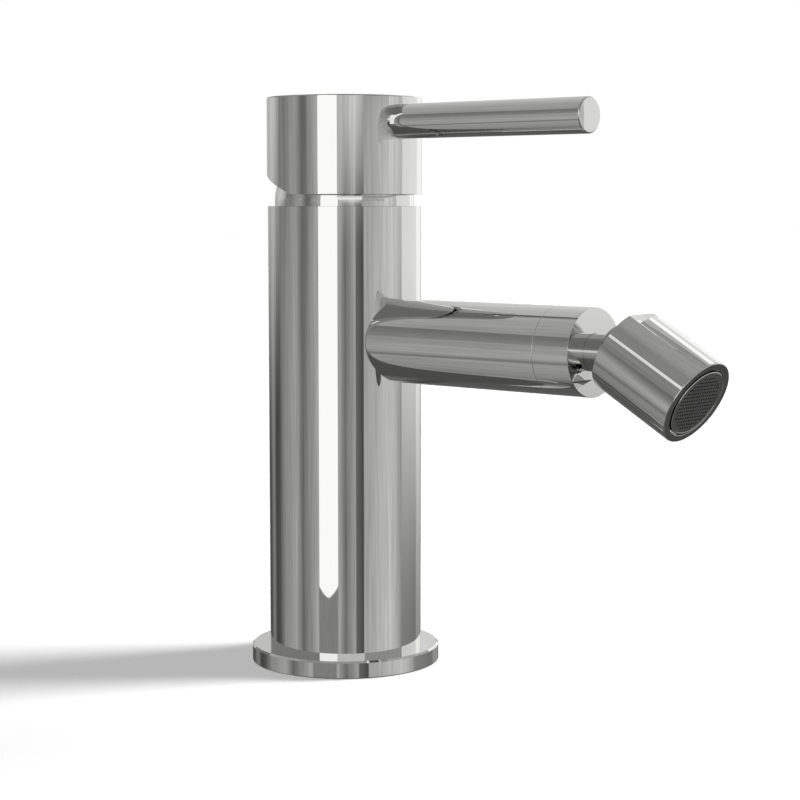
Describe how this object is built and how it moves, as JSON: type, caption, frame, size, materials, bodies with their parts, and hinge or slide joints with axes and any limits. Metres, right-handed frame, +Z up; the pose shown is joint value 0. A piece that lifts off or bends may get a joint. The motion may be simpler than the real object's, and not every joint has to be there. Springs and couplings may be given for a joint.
{
  "type": "bidet mixer",
  "caption": "Single-lever bidet mixer: tall round body on a flat flange, pin lever, straight side spout and a ball-jointed aerator nozzle.",
  "frame": {"origin": "on the body's axis, at the underside of the base flange", "axes": "+Z up along the body; +X the way that the spout and the lever point; +Y to the left of someone looking along +X"},
  "size_m": [0.1462, 0.052, 0.1555],
  "materials": {
    "chrome": "polished chrome plate on brass",
    "brass": "turned, uncoated",
    "steel": "machined stainless steel",
    "rubber": "moulded, dull black",
    "white_plastic": "moulded, slightly dull",
    "grey_plastic": "moulded, dull",
    "ceramic": "lapped, white"
  },
  "bodies": {
    "body": {"base_flange": "chrome", "base_gasket": "rubber", "mixer_body": "chrome", "spout_nipple": "brass", "nipple_o_ring": "rubber", "spout_tube": "chrome", "collar_o_ring": "rubber", "spout_collar": "chrome", "stem_o_ring": "rubber", "ball_stud": "chrome", "port_seals": "rubber", "cartridge_base": "white_plastic", "cartridge_shell": "white_plastic", "fixed_disc": "ceramic", "cartridge_nut": "brass", "dome_o_ring": "rubber", "dome_cover": "chrome"},
    "rotor": {"spindle_guide": "white_plastic", "guide_o_ring": "rubber", "spindle_pin": "steel"},
    "lever": {"spindle": "steel", "lever_cap": "chrome", "lever_rod": "chrome", "grub_screw": "steel", "screw_plug": "chrome"},
    "disc": {"disc_carrier": "white_plastic", "moving_disc": "ceramic"},
    "insert": {"ball_insert": "white_plastic"},
    "seats": {"ball_seat_rear": "white_plastic", "ball_o_ring": "rubber", "ball_seat_front": "white_plastic"},
    "nozzle": {"nozzle_housing": "chrome", "seat_nut": "brass", "aerator_gasket": "rubber", "aerator_housing": "chrome", "aerator_diffuser": "white_plastic", "aerator_mesh": "steel", "aerator_spacer": "white_plastic", "aerator_grille": "grey_plastic"}
  },
  "joints": [
    {"name": "lever_turn", "type": "hinge", "parent": "body", "child": "rotor", "pos_m": [0, 0, 0.127], "axis": [0, 0, 1], "range_deg": [-50, 50]},
    {"name": "lever_lift", "type": "hinge", "parent": "rotor", "child": "lever", "pos_m": [0, 0, 0.127], "axis": [0, -1, 0], "range_deg": [0, 20]},
    {"name": "disc_slide", "type": "slide", "parent": "rotor", "child": "disc", "axis": [1, 0, 0], "range_m": [0, 0.0041]},
    {"name": "nozzle_turn", "type": "hinge", "parent": "body", "child": "insert", "pos_m": [0.096, 0, 0.09], "axis": [1, 0, 0], "continuous": true},
    {"name": "nozzle_tilt", "type": "hinge", "parent": "insert", "child": "seats", "pos_m": [0.096, 0, 0.09], "axis": [0, 1, 0], "range_deg": [-29.5, 0.5]},
    {"name": "nozzle_spin", "type": "hinge", "parent": "seats", "child": "nozzle", "pos_m": [0.096, 0, 0.09], "axis": [0.8704, 0, -0.4924], "continuous": true}
  ],
  "couplings": [
    {"joint": "disc_slide", "follows": "lever_lift", "m_per_rad": 0.01153}
  ]
}
